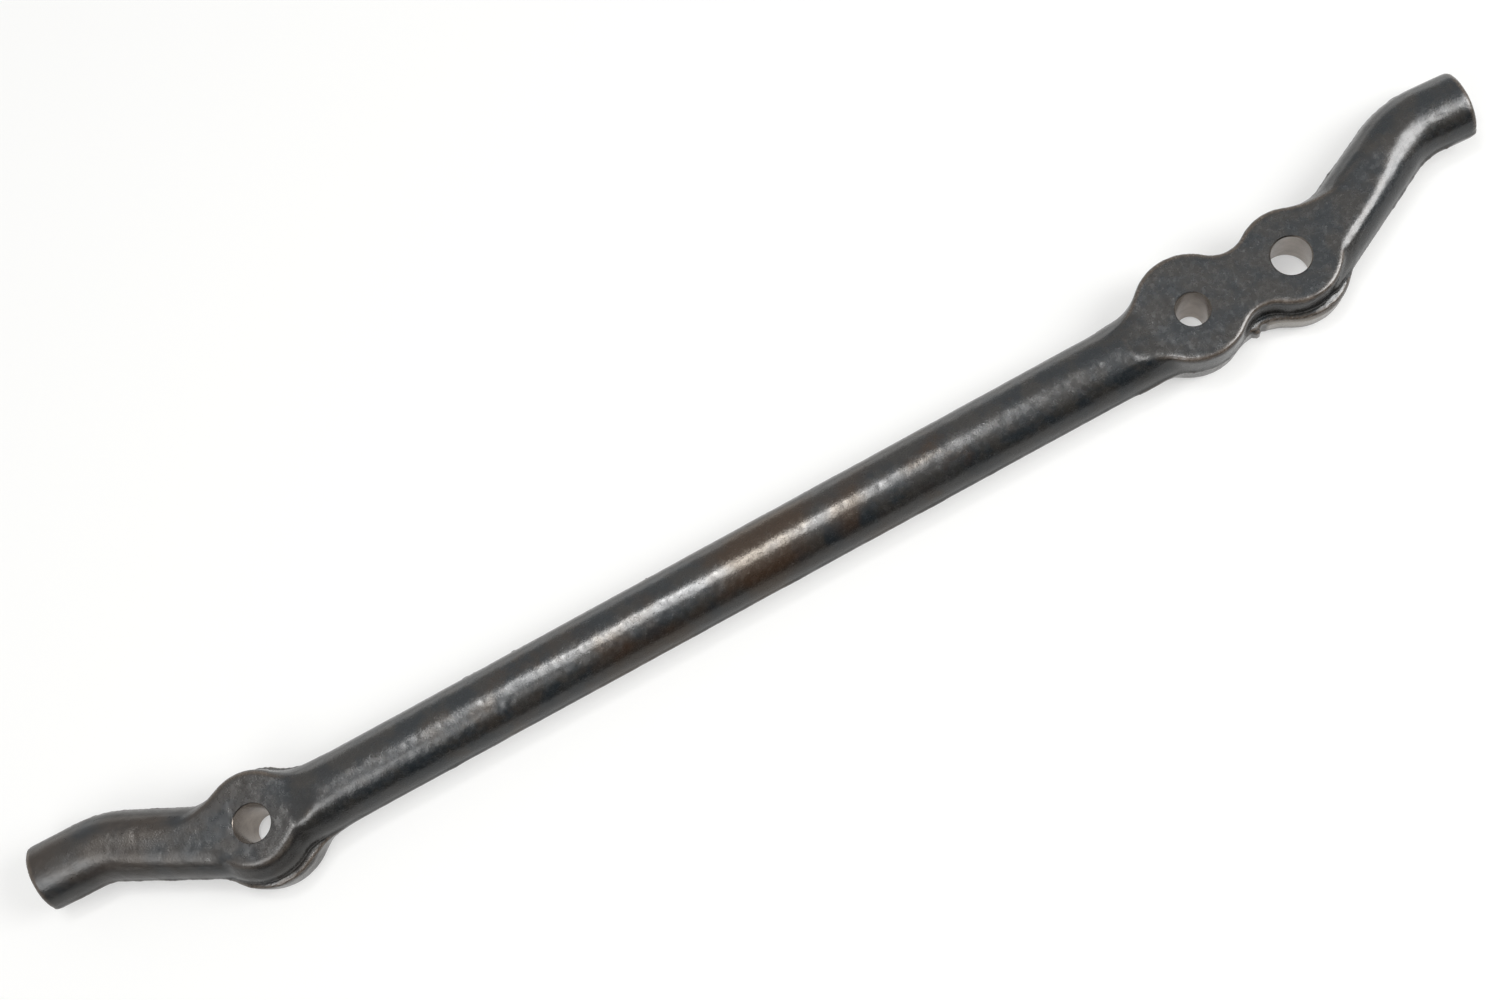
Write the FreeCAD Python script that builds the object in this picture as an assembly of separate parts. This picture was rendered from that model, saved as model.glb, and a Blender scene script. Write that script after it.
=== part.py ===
import FreeCAD, Part
import math
import os

# Steering center link, one drop forging with machined holes.
# Units are millimetres. The origin is on the axis of the single hole, in the parting plane.
# +X runs along the bar to the pair of holes, +Z runs along the stud axes out of the seen faces,
# +Y is the side both arms are set off to.

Vector = FreeCAD.Vector

# Main sizes
middle_hole_x = 542.0
pair_spacing = 56.4
bar_diameter = 38.0
bar_axis_y = -1.7
face_drop = 3.0

# Arms: the straight run leaves its boss at arm_angle, with its outer side set in from the round
# of the boss by arm_inset, then turns by a bend into the round end. The faces of the bosses are
# struck below the top of the bar by face_drop and below the top of an arm by arm_face_drop.
arm_end_diameter = 35.8
arm_root_diameter = 37.4
left_arm_angle = 26.4
left_arm_inset = 4.3
left_corner_run = 83.5
left_end_tilt = 1.5
left_end_x = -115.6
left_bend_radius = 48.0
right_arm_angle = 27.2
right_arm_inset = -0.1
right_corner_run = 93.0
right_end_tilt = -4.0
right_end_reach = 119.9
right_bend_radius = 46.0
end_edge_chamfer = 1.2
arm_face_drop = 1.9

# Upper die half: radius and middle of each boss at the face and at the parting plane.
# The single boss has a long sloping shoulder on the -Y side and a steep wall on the +Y side.
left_face_radius = 24.6
left_face_shift = 3.0
left_shoulder_radius = 28.2
left_shoulder_shift = 0.4
left_parting_radius = 29.4
left_rim_round = 2.6
middle_face_radius = 29.1
middle_face_shift = 1.6
right_face_radius = 26.1
right_face_shift = 0.6
pair_rim_round = 1.6
upper_draft_angle = 2.5
shoulder_height = 7.0

# Lower die half: radius and middle of each boss at the lower face, a little larger than the
# upper half at the outer bosses, so that a narrow ledge runs round the parting line.
left_lower_radius = 29.8
left_lower_offset = (1.4, -1.8)
middle_lower_radius = 28.1
middle_lower_offset = (0.0, 1.4)
right_lower_radius = 28.1
right_lower_offset = (2.0, -1.4)
lower_draft_angle = 4.0
lower_rim_round = 2.4

# Blends of the plan outline
neck_blend = 17.0
lower_neck_blend_front = 30.0
lower_neck_blend_back = 17.0
bar_flare_front = 26.0
bar_flare_back = 40.0
pair_flare_back = 42.0
lower_bar_flare = 44.0
left_arm_flare_outer = 36.0
right_arm_flare_outer = 50.0
arm_flare_inner = 30.0
flare_inset = 0.7
plate_run_in_bar = 62.0
plate_run_in_arm = 66.0

# Where the faces run out into the round bar and arms
left_lip_radius = 20.5
middle_lip_radius = 31.0
left_lip_sweep = 36.0
middle_lip_sweep = 10.0
arm_flat_run = 38.0
arm_flat_sweep = 300.0
sweep_clearance = 2.0

# Trimmed flash left standing along the parting line of the bar and arms, and the notch and
# stub it leaves in front of the neck between the joined bosses
flash_stand = 0.6
flash_thickness = 2.2
flash_end_gap = 9.0
notch_radius = 1.7
notch_from_middle = (30.6, -20.6)
stub_radius = 2.8
stub_top_radius = 2.0
stub_from_middle = (26.6, -20.4)
stub_height = 9.0

# Stud holes, one in eight taper on diameter
taper = 1.0 / 8.0
left_hole_top_radius = 10.1
middle_hole_top_radius = 9.0
right_hole_top_radius = 10.3
left_mouth_chamfer = 0.4
middle_mouth_chamfer = 0.4
right_mouth_chamfer = 0.6

# Threaded sockets in the arm ends, tap drill of M22 x 1.5
socket_drill_radius = 10.25
socket_depth = 40.0
socket_mouth_radius = 11.05
drill_point_angle = 118.0

# How far cutting tools reach past what they cut, and how near two points count as one
overshoot = 40.0
hole_overshoot = 4.0
same_place = 0.01

bar_radius = bar_diameter / 2.0
arm_root_radius = arm_root_diameter / 2.0
arm_end_radius = arm_end_diameter / 2.0
face_height = bar_radius - face_drop
right_hole_x = middle_hole_x + pair_spacing
right_end_x = right_hole_x + right_end_reach
upper_draft = math.tan(math.radians(upper_draft_angle))
lower_draft = math.tan(math.radians(lower_draft_angle))
left_arm_pass = left_parting_radius - arm_end_radius - left_arm_inset
right_parting_radius = right_face_radius + face_height * upper_draft
right_arm_pass = right_parting_radius - arm_end_radius - right_arm_inset


def unit(angle):
    """Direction in the parting plane at an angle in degrees from +X."""
    turn = math.radians(angle)
    return Vector(math.cos(turn), math.sin(turn), 0)


def right_of(direction):
    """Direction a quarter turn to the right of the one given."""
    return Vector(direction.y, -direction.x, 0)


def line_and_circle(point, direction, centre, radius):
    """Two crossings of a line with a circle, in the order of travel."""
    foot = point + direction * (centre - point).dot(direction)
    half = math.sqrt(radius ** 2 - (centre - foot).Length ** 2)
    return foot - direction * half, foot + direction * half


class Edge:
    """Straight member of a plan outline, walked counter-clockwise."""

    def __init__(self, point, direction, start=None, end=None):
        self.point = point
        self.direction = direction
        self.start = start
        self.end = end

    def touch(self, centre):
        return self.point + self.direction * (centre - self.point).dot(self.direction)


class Boss:
    """Round member of a plan outline."""

    def __init__(self, centre, radius):
        self.centre = centre
        self.radius = radius

    def touch(self, centre):
        return self.centre + (centre - self.centre).normalize() * self.radius


def blend_centre(first, second, radius):
    """Centre of the hollow arc that joins two members of an outline."""
    if isinstance(first, Edge):
        start = first.point + right_of(first.direction) * radius
        return line_and_circle(start, first.direction, second.centre, second.radius + radius)[0]
    if isinstance(second, Edge):
        start = second.point + right_of(second.direction) * radius
        return line_and_circle(start, second.direction, first.centre, first.radius + radius)[1]
    gap = second.centre - first.centre
    to_first = first.radius + radius
    to_second = second.radius + radius
    along = (gap.Length ** 2 + to_first ** 2 - to_second ** 2) / (2.0 * gap.Length)
    aside = math.sqrt(to_first ** 2 - along ** 2)
    gap.normalize()
    return first.centre + gap * along + right_of(gap) * aside


def arc(centre, start, end, hollow):
    """Arc about a centre, counter-clockwise on a boss and clockwise in a hollow."""
    radius = (start - centre).Length
    first = math.atan2(start.y - centre.y, start.x - centre.x)
    last = math.atan2(end.y - centre.y, end.x - centre.x)
    sweep = (first - last if hollow else last - first) % (2.0 * math.pi)
    halfway = first - sweep / 2.0 if hollow else first + sweep / 2.0
    middle = centre + Vector(math.cos(halfway), math.sin(halfway), 0) * radius
    return Part.Arc(start, middle, end).toShape()


def outline(members, blends, height):
    """Closed wire of members joined by hollow arcs, at a height. A blend of None is a cut end."""
    centres = []
    for index, radius in enumerate(blends):
        following = members[(index + 1) % len(members)]
        centres.append(blend_centre(members[index], following, radius) if radius else None)
    edges = []
    for index, member in enumerate(members):
        before = centres[index - 1]
        after = centres[index]
        following = members[(index + 1) % len(members)]
        start = member.touch(before) if before else member.start
        end = member.touch(after) if after else member.end
        if isinstance(member, Edge):
            edges.append(Part.LineSegment(start, end).toShape())
        else:
            edges.append(arc(member.centre, start, end, False))
        if after:
            edges.append(arc(after, end, following.touch(after), True))
        else:
            edges.append(Part.LineSegment(end, following.start).toShape())
    wire = Part.Wire(edges)
    wire.translate(Vector(0, 0, height))
    return wire


def half_chord(radius, drop, height):
    """Half width of a round whose top stands above the faces by a drop, taken as far up it as the
    height is up the boss and kept a little inside the round."""
    level = height / face_height * (radius - drop)
    return math.sqrt(radius ** 2 - level ** 2) - flare_inset


class Arm:
    """Bent round arm outside a boss, with its centre line and its run directions."""

    def __init__(self, hole_x, heading, passing, corner_run, tilt, end_x, bend_radius):
        self.hole = Vector(hole_x, 0, 0)
        self.heading = unit(heading)
        self.across = Vector(-self.heading.y, self.heading.x, 0)
        if self.across.y < 0:
            self.across = self.across * -1.0
        self.foot = self.hole - self.across * passing
        self.corner = self.foot + self.heading * corner_run
        self.end_heading = unit(tilt)
        run = (end_x - self.corner.x) / self.end_heading.x
        self.end = self.corner + self.end_heading * run
        self.bend_radius = bend_radius

    def spine(self):
        """Centre line of the bend and the straight end, and where the bend starts."""
        turn = self.heading.getAngle(self.end_heading)
        trim = self.bend_radius * math.tan(turn / 2.0)
        bend_start = self.corner - self.heading * trim
        bend_end = self.corner + self.end_heading * trim
        inward = (self.end_heading - self.heading).normalize()
        to_centre = self.bend_radius / math.cos(turn / 2.0)
        middle = self.corner + inward * (to_centre - self.bend_radius)
        bend = Part.Arc(bend_start, middle, bend_end).toShape()
        straight = Part.LineSegment(bend_end, self.end).toShape()
        return Part.Wire([bend, straight]), bend_start

    def flash(self):
        """Thin strip of trimmed flash along both sides of the arm, short of the turned end."""
        spine, bend_start = self.spine()
        stop = self.end - self.end_heading * flash_end_gap
        trimmed = Part.Wire([spine.Edges[0],
                             Part.LineSegment(spine.Edges[0].Vertexes[1].Point, stop).toShape()])
        side = self.across * (arm_end_radius + flash_stand)
        top = Vector(0, 0, flash_thickness / 2.0)
        corners = [side + top, side - top, side * -1.0 - top, side * -1.0 + top]
        section = Part.makePolygon([bend_start + corner for corner in corners + corners[:1]])
        bent = trimmed.makePipeShell([section], True, False)
        run = bend_start - self.foot
        straight = Part.Face(section).extrude(run * -1.0)
        return [bent, straight]

    def edges(self, half_width, run):
        """Upper and lower straight members of the plan outline, each cut at the same run."""
        upper = self.foot + self.across * half_width
        lower = self.foot - self.across * half_width
        return upper, lower, self.heading * run

    def body(self):
        """Solid round arm, slimming as far as the bend, with its outer edge chamfered."""
        spine, bend_start = self.spine()
        profile = Part.Wire(Part.makeCircle(arm_end_radius, bend_start, self.heading))
        end = spine.makePipeShell([profile], True, False)
        outer = [edge for edge in end.Edges if (edge.CenterOfMass - self.end).Length < same_place]
        end = end.makeChamfer(end_edge_chamfer, outer)
        run = (bend_start - self.foot).Length
        root = Part.makeCone(arm_root_radius, arm_end_radius, run, self.foot, self.heading)
        return root.fuse(end)

    def flat_cutter(self):
        """Tool that takes the arm down to the face, running out along the arm by a wide arc."""
        ramp = Vector(0, 0, arm_flat_sweep)
        level = self.foot + Vector(0, 0, face_height)
        start = level - self.heading * overshoot
        touch = level + self.heading * arm_flat_run
        climb = arm_root_radius + sweep_clearance - face_height
        out = math.sqrt(arm_flat_sweep ** 2 - (arm_flat_sweep - climb) ** 2)
        leave = touch + self.heading * out + Vector(0, 0, climb)
        centre = touch + ramp
        middle = (touch - centre) + (leave - centre)
        middle = centre + middle.normalize() * arm_flat_sweep
        top = Vector(0, 0, overshoot)
        profile = Part.Wire([
            Part.LineSegment(start, touch).toShape(),
            Part.Arc(touch, middle, leave).toShape(),
            Part.LineSegment(leave, leave + top).toShape(),
            Part.LineSegment(leave + top, start + top).toShape(),
            Part.LineSegment(start + top, start).toShape(),
        ])
        face = Part.Face(profile)
        face.translate(self.across * -overshoot)
        return face.extrude(self.across * (2.0 * overshoot))

    def socket(self):
        """Drilled blind socket with its drill point and mouth chamfer."""
        inward = self.end_heading * -1.0
        bore = Part.makeCylinder(socket_drill_radius, socket_depth, self.end, inward)
        point_depth = socket_drill_radius / math.tan(math.radians(drill_point_angle / 2.0))
        point = Part.makeCone(socket_drill_radius, 0, point_depth,
                              self.end + inward * socket_depth, inward)
        mouth_depth = socket_mouth_radius - socket_drill_radius
        mouth = Part.makeCone(socket_mouth_radius, socket_drill_radius, mouth_depth,
                              self.end, inward)
        return bore.fuse([point, mouth])


def round_rim(plate, height, radius):
    """Rounds the rim of a plate at one face."""
    rim = [edge for edge in plate.Edges
           if all(abs(vertex.Z - height) < same_place for vertex in edge.Vertexes)]
    return plate.makeFillet(radius, rim)


def left_outline(height, middle, radius, flare_back, flare_front):
    """Plan outline round the single boss at a height off the parting plane."""
    bar_half = half_chord(bar_radius, face_drop, height)
    arm_half = half_chord(arm_end_radius, arm_face_drop, height)
    upper, lower, run = left_arm.edges(arm_half, plate_run_in_arm)
    bar_back = Vector(plate_run_in_bar, bar_axis_y + bar_half, 0)
    bar_front = Vector(plate_run_in_bar, bar_axis_y - bar_half, 0)
    boss = Boss(middle, radius)
    members = [
        Edge(bar_back, unit(180), start=bar_back),
        boss,
        Edge(upper, left_arm.heading, end=upper + run),
        Edge(lower, left_arm.heading * -1.0, start=lower + run),
        boss,
        Edge(bar_front, unit(0), end=bar_front),
    ]
    blends = [flare_back, left_arm_flare_outer, None, arm_flare_inner, flare_front, None]
    return outline(members, blends, height)


def pair_outline(height, middle_boss, right_boss, neck_back, neck_front, flare_back, flare_front):
    """Plan outline round the two joined bosses at a height off the parting plane."""
    bar_half = half_chord(bar_radius, face_drop, height)
    arm_half = half_chord(arm_end_radius, arm_face_drop, height)
    upper, lower, run = right_arm.edges(arm_half, plate_run_in_arm)
    start_x = middle_hole_x - plate_run_in_bar
    bar_back = Vector(start_x, bar_axis_y + bar_half, 0)
    bar_front = Vector(start_x, bar_axis_y - bar_half, 0)
    members = [
        Edge(bar_front, unit(0), start=bar_front),
        middle_boss,
        right_boss,
        Edge(lower, right_arm.heading, end=lower + run),
        Edge(upper, right_arm.heading * -1.0, start=upper + run),
        right_boss,
        middle_boss,
        Edge(bar_back, unit(180), end=bar_back),
    ]
    blends = [flare_front, neck_front, arm_flare_inner, None, right_arm_flare_outer, neck_back,
              flare_back, None]
    return outline(members, blends, height)


def mirrored(shape):
    """The same shape on the other side of the parting plane."""
    return shape.mirror(Vector(0, 0, 0), Vector(0, 0, 1))


def die_half(outlines, rim_round, side):
    """Lofts one half of a boss plate from the parting plane to its face and rounds the rim."""
    plate = Part.makeLoft(outlines, True, True)
    plate = round_rim(plate, face_height, rim_round)
    return plate if side > 0 else mirrored(plate)


def upper_left(height, middle_y, radius):
    return left_outline(height, Vector(0, middle_y, 0), radius, bar_flare_back, bar_flare_front)


def upper_pair(height):
    grow = (face_height - height) * upper_draft
    middle = Boss(Vector(middle_hole_x, middle_face_shift, 0), middle_face_radius + grow)
    right = Boss(Vector(right_hole_x, right_face_shift, 0), right_face_radius + grow)
    neck = neck_blend - grow
    return pair_outline(height, middle, right, neck, neck, pair_flare_back, bar_flare_front)


def lower_left(height):
    grow = (face_height - height) * lower_draft
    middle = Vector(left_lower_offset[0], left_lower_offset[1], 0)
    return left_outline(height, middle, left_lower_radius + grow, lower_bar_flare, lower_bar_flare)


def lower_pair(height):
    grow = (face_height - height) * lower_draft
    middle_at = Vector(middle_hole_x + middle_lower_offset[0], middle_lower_offset[1], 0)
    right_at = Vector(right_hole_x + right_lower_offset[0], right_lower_offset[1], 0)
    middle = Boss(middle_at, middle_lower_radius + grow)
    right = Boss(right_at, right_lower_radius + grow)
    return pair_outline(height, middle, right, lower_neck_blend_back - grow,
                        lower_neck_blend_front - grow, lower_bar_flare, lower_bar_flare)


def lip_cutter(centre_x, lip_radius, lip_sweep):
    """Round tool that clears the bar off a boss face and sweeps up to the top of the bar."""
    climb = bar_radius + sweep_clearance - face_height
    out = math.sqrt(lip_sweep ** 2 - (lip_sweep - climb) ** 2)
    axis = Vector(centre_x, 0, face_height)
    touch = axis + Vector(lip_radius, 0, 0)
    leave = touch + Vector(out, 0, climb)
    centre = touch + Vector(0, 0, lip_sweep)
    middle = centre + ((touch - centre) + (leave - centre)).normalize() * lip_sweep
    top = Vector(0, 0, overshoot)
    profile = Part.Wire([
        Part.LineSegment(axis, touch).toShape(),
        Part.Arc(touch, middle, leave).toShape(),
        Part.LineSegment(leave, leave + top).toShape(),
        Part.LineSegment(leave + top, axis + top).toShape(),
        Part.LineSegment(axis + top, axis).toShape(),
    ])
    return Part.Face(profile).revolve(axis, Vector(0, 0, 1), 360)


def mouth_chamfer(x, height, radius, chamfer, outward):
    """Countersink at one mouth of a stud hole, opening to radius plus chamfer at the face."""
    return Part.makeCone(radius, radius + 2.0 * chamfer, 2.0 * chamfer,
                         Vector(x, 0, height - outward * chamfer), Vector(0, 0, outward))


def stud_hole(x, top_radius, grows_down, chamfer):
    """Tapered stud hole through both faces with a small chamfer at each mouth."""
    reach = face_height + hole_overshoot
    slope = taper / 2.0 * (1 if grows_down else -1)
    bottom_radius = top_radius + slope * 2.0 * face_height
    hole = Part.makeCone(bottom_radius + slope * hole_overshoot, top_radius - slope * hole_overshoot,
                         2.0 * reach, Vector(x, 0, -reach))
    upper = mouth_chamfer(x, face_height, top_radius, chamfer, 1)
    lower = mouth_chamfer(x, -face_height, bottom_radius, chamfer, -1)
    return hole.fuse([upper, lower])


left_arm = Arm(0.0, 180.0 - left_arm_angle, left_arm_pass, left_corner_run,
               180.0 - left_end_tilt, left_end_x, left_bend_radius)
right_arm = Arm(right_hole_x, right_arm_angle, right_arm_pass, right_corner_run,
                right_end_tilt, right_end_x, right_bend_radius)

levels = [0.0, face_height * 0.5, face_height]
upper_left_outlines = [
    upper_left(0.0, 0.0, left_parting_radius),
    upper_left(shoulder_height, left_shoulder_shift, left_shoulder_radius),
    upper_left(face_height, left_face_shift, left_face_radius),
]
plates = [
    die_half(upper_left_outlines, left_rim_round, 1),
    die_half([upper_pair(level) for level in levels], pair_rim_round, 1),
    die_half([lower_left(level) for level in levels], lower_rim_round, -1),
    die_half([lower_pair(level) for level in levels], lower_rim_round, -1),
]

bar = Part.makeCylinder(bar_radius, middle_hole_x, Vector(0, bar_axis_y, 0), Vector(1, 0, 0))
cutters = [lip_cutter(0, left_lip_radius, left_lip_sweep),
           lip_cutter(middle_hole_x, middle_lip_radius, middle_lip_sweep)]
bar = bar.cut(cutters + [mirrored(tool) for tool in cutters])
arms = []
for arm in (left_arm, right_arm):
    cutter = arm.flat_cutter()
    arms.append(arm.body().cut([cutter, mirrored(cutter)]))

flash_half = bar_radius + flash_stand
bar_flash = Part.makeBox(middle_hole_x, 2.0 * flash_half, flash_thickness,
                         Vector(0, bar_axis_y - flash_half, -flash_thickness / 2.0))
notch = Part.makeCylinder(notch_radius, overshoot,
                          Vector(middle_hole_x + notch_from_middle[0], notch_from_middle[1],
                                 -overshoot))
stub = Part.makeCone(stub_radius, stub_top_radius, stub_height,
                     Vector(middle_hole_x + stub_from_middle[0], stub_from_middle[1],
                            -stub_height))
flash = left_arm.flash() + right_arm.flash() + [bar_flash]
body = bar.fuse(plates + arms + flash + [stub]).cut(notch).removeSplitter()

holes = [
    stud_hole(0, left_hole_top_radius, False, left_mouth_chamfer),
    stud_hole(middle_hole_x, middle_hole_top_radius, False, middle_mouth_chamfer),
    stud_hole(right_hole_x, right_hole_top_radius, True, right_mouth_chamfer),
]
center_link = body.cut(holes + [left_arm.socket(), right_arm.socket()])

os.makedirs("parts", exist_ok=True)
center_link.Solids[0].exportStep("parts/center_link.step")
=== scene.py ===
"""Steering center link: a drop forging in carbon steel, dressed for looks.

The forging is grown as a distance field from its round bar, its two bent arms and its flat
bosses, each struck by an upper and a lower die. The field is meshed, given its trimmed flash
and its forging skin, and then machined with tapered stud holes and threaded arm ends.
Working sizes are millimetres, the frame is metres.
"""

import cmath
import logging
import math
from dataclasses import dataclass, field
from enum import Enum

import bmesh
import bpy
import numpy as np
from mathutils import Matrix, Vector


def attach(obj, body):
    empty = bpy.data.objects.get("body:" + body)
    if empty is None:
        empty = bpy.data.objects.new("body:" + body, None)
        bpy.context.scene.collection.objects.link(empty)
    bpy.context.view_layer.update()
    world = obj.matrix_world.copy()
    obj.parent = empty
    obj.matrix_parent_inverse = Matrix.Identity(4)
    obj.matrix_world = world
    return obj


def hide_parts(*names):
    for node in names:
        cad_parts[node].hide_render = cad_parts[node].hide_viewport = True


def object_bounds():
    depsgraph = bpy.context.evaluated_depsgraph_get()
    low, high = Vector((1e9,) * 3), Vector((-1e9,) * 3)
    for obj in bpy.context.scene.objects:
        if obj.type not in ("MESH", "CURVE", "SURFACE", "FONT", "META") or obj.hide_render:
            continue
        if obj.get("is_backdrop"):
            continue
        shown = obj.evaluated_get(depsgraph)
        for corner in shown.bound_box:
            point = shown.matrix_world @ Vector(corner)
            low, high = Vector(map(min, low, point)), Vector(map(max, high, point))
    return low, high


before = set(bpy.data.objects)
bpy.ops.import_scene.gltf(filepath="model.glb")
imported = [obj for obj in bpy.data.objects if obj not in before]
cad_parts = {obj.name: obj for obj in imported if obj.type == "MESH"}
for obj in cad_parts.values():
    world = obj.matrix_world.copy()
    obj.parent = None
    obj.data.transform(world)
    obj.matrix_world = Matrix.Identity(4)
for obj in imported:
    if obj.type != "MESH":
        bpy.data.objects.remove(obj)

log = logging.getLogger("center_link")

METRE = 0.001
FACE_HEIGHT = 16.0
FLARE_INSET = 0.7


class Die(Enum):
    """The two dies that the forging is struck in, by the side of the parting plane."""

    UPPER = 1
    LOWER = -1


def linear(code: str) -> tuple[float, float, float, float]:
    """Turns an sRGB hex colour to linear.

    Args:
        code: Colour as "#rrggbb".

    Returns:
        Linear red, green and blue, and an alpha of 1.
    """
    channels = [int(code[place : place + 2], 16) / 255.0 for place in (1, 3, 5)]
    values = [c / 12.92 if c <= 0.04045 else ((c + 0.055) / 1.055) ** 2.4 for c in channels]
    return (values[0], values[1], values[2], 1.0)


def smooth_step(low: float, high: float, value: np.ndarray) -> np.ndarray:
    """Eases from 0 at low to 1 at high.

    Args:
        low: Value that gives 0.
        high: Value that gives 1, which may be the lower of the two.
        value: Values to ease.

    Returns:
        Eased values between 0 and 1.
    """
    part = np.clip((value - low) / (high - low), 0.0, 1.0)
    return part * part * (3.0 - 2.0 * part)


def round_meet(first: np.ndarray, second: np.ndarray, radius: float) -> np.ndarray:
    """Common part of two solids with a round edge.

    Args:
        first: Distance field of one solid, negative inside.
        second: Distance field of the other.
        radius: Radius of the edge where they meet.

    Returns:
        Distance field of the common part.
    """
    inner = np.minimum(np.maximum(first, second), -radius)
    return inner + np.hypot(np.maximum(first + radius, 0.0), np.maximum(second + radius, 0.0))


def soft_join(first: np.ndarray, second: np.ndarray, reach: np.ndarray | float) -> np.ndarray:
    """Union of two solids with a soft hollow between them.

    Args:
        first: Distance field of one solid, negative inside.
        second: Distance field of the other.
        reach: How near the surfaces are where the hollow starts.

    Returns:
        Distance field of the union.
    """
    reach = np.maximum(reach, 1e-4)
    nearness = np.maximum(reach - np.abs(first - second), 0.0) / reach
    return np.minimum(first, second) - nearness * nearness * reach / 4.0


@dataclass(frozen=True)
class Side:
    """Straight member of a plan outline, walked counter-clockwise."""

    point: complex
    heading: complex
    start: complex = 0j
    end: complex = 0j

    def touch(self, centre: complex) -> complex:
        """Foot of the perpendicular from a point."""
        return self.point + self.heading * ((centre - self.point) * self.heading.conjugate()).real


@dataclass(frozen=True)
class Disc:
    """Round member of a plan outline."""

    centre: complex
    radius: float

    def touch(self, centre: complex) -> complex:
        """Point of the round nearest to a point outside it."""
        away = centre - self.centre
        return self.centre + away / abs(away) * self.radius


def heading_of(degrees: float) -> complex:
    """Unit direction in plan at an angle from +X."""
    return cmath.exp(1j * math.radians(degrees))


def line_and_round(point: complex, heading: complex, round_: Disc) -> tuple[complex, complex]:
    """Crossings of a line with a round.

    Args:
        point: A point of the line.
        heading: Unit direction of the line.
        round_: The round it crosses.

    Returns:
        The two crossings, in the order of travel.
    """
    foot = point + heading * ((round_.centre - point) * heading.conjugate()).real
    half = math.sqrt(round_.radius**2 - abs(round_.centre - foot) ** 2)
    return foot - heading * half, foot + heading * half


def hollow_centre(first: Side | Disc, second: Side | Disc, radius: float) -> complex:
    """Centre of the hollow arc that joins two members of an outline.

    Args:
        first: Member walked before the arc.
        second: Member walked after it.
        radius: Radius of the arc.

    Returns:
        The arc's centre in plan.
    """
    if isinstance(first, Side):
        start = first.point - 1j * first.heading * radius
        return line_and_round(start, first.heading, Disc(second.centre, second.radius + radius))[0]
    if isinstance(second, Side):
        start = second.point - 1j * second.heading * radius
        return line_and_round(start, second.heading, Disc(first.centre, first.radius + radius))[1]
    gap = second.centre - first.centre
    to_first = first.radius + radius
    to_second = second.radius + radius
    along = (abs(gap) ** 2 + to_first**2 - to_second**2) / (2.0 * abs(gap))
    aside = math.sqrt(to_first**2 - along**2)
    return first.centre + gap / abs(gap) * (along - 1j * aside)


def arc_points(centre: complex, start: complex, end: complex, hollow: bool) -> list[complex]:
    """Points of an arc, counter-clockwise on a boss and clockwise in a hollow.

    Args:
        centre: The arc's centre.
        start: First point.
        end: Last point.
        hollow: True where the arc runs clockwise.

    Returns:
        Points about 0.7 mm apart, both ends among them.
    """
    first = cmath.phase(start - centre)
    last = cmath.phase(end - centre)
    turn = -1.0 if hollow else 1.0
    sweep = (turn * (last - first)) % math.tau
    radius = abs(start - centre)
    count = max(2, math.ceil(sweep * radius / 0.7))
    return [
        centre + radius * cmath.exp(1j * (first + turn * sweep * step / count))
        for step in range(count + 1)
    ]


@dataclass(frozen=True)
class PlanOutline:
    """Closed outline of members joined by hollow arcs. A blend of 0 is a cut end."""

    members: tuple[Side | Disc, ...]
    blends: tuple[float, ...]

    def points(self) -> list[complex]:
        """Walks the outline.

        Returns:
            The outline's points in order.
        """
        count = len(self.members)
        centres = [
            hollow_centre(self.members[at], self.members[(at + 1) % count], blend)
            if blend
            else None
            for at, blend in enumerate(self.blends)
        ]
        walk: list[complex] = []
        for at, member in enumerate(self.members):
            before, after = centres[at - 1], centres[at]
            start = member.touch(before) if before is not None else member.start
            end = member.touch(after) if after is not None else member.end
            if isinstance(member, Side):
                walk += [start, end]
            else:
                walk += arc_points(member.centre, start, end, False)
            if after is not None:
                following = self.members[(at + 1) % count].touch(after)
                walk += arc_points(after, end, following, True)
        return walk

    def distance(self, x: np.ndarray, y: np.ndarray) -> np.ndarray:
        """Distance to the outline in plan.

        Args:
            x: Plan X of the asked points.
            y: Plan Y of the asked points.

        Returns:
            Signed distance, negative inside.
        """
        place = x + 1j * y
        nearest = np.full(place.shape, np.inf)
        inside = np.zeros(place.shape, bool)
        walk = self.points()
        for start, end in zip(walk, walk[1:] + walk[:1]):
            run = end - start
            if abs(run) < 1e-6:
                continue
            share = np.clip(((place - start) * run.conjugate()).real / abs(run) ** 2, 0.0, 1.0)
            nearest = np.minimum(nearest, np.abs(place - start - share * run))
            if start.imag != end.imag:
                straddles = (start.imag > y) != (end.imag > y)
                crossing = start.real + (y - start.imag) * run.real / run.imag
                inside ^= straddles & (x < crossing)
        return np.where(inside, -nearest, nearest)


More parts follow.
